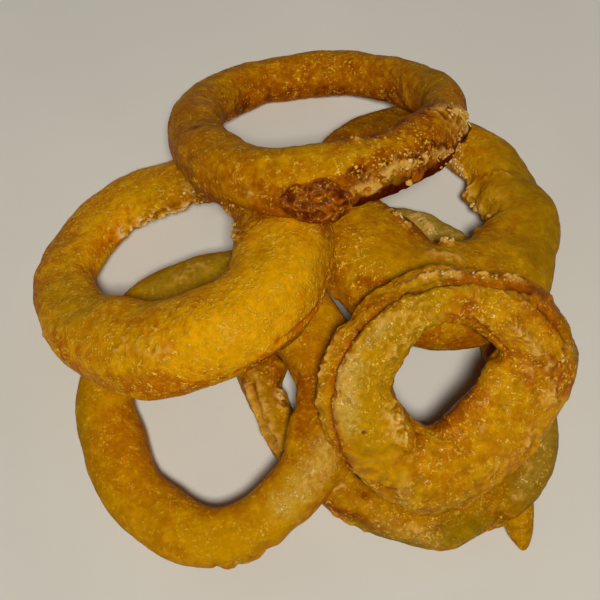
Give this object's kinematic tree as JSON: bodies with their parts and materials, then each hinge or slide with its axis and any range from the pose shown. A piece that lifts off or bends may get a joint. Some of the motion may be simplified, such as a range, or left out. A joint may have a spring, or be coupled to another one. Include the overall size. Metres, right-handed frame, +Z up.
{
  "type": "onion rings side",
  "caption": "Loose pile of large battered and deep-fried onion rings, uneven golden hoops leaning on one another, with one flat ring underneath.",
  "frame": {"origin": "centre of the pile's bounding box in plan, on the surface it lies on", "axes": "+Z up; +Y towards the back of the pile, where the topmost ring leans; +X to the right as seen from the front"},
  "size_m": [0.1396, 0.15, 0.067],
  "materials": {
    "ring_base_batter": "crisp fried batter, golden with browned patches and an oily sheen",
    "ring_front_batter": "crisp fried batter, golden with browned patches and an oily sheen",
    "ring_front_right_batter": "crisp fried batter, golden with browned patches and an oily sheen",
    "ring_left_batter": "crisp fried batter, golden with browned patches and an oily sheen",
    "ring_right_batter": "crisp fried batter, golden with browned patches and an oily sheen",
    "ring_top_batter": "crisp fried batter, golden with browned patches and an oily sheen"
  },
  "bodies": {
    "root": {"ring_base": "ring_base_batter", "ring_front": "ring_front_batter", "ring_front_right": "ring_front_right_batter", "ring_left": "ring_left_batter", "ring_right": "ring_right_batter", "ring_top": "ring_top_batter"}
  },
  "joints": []
}
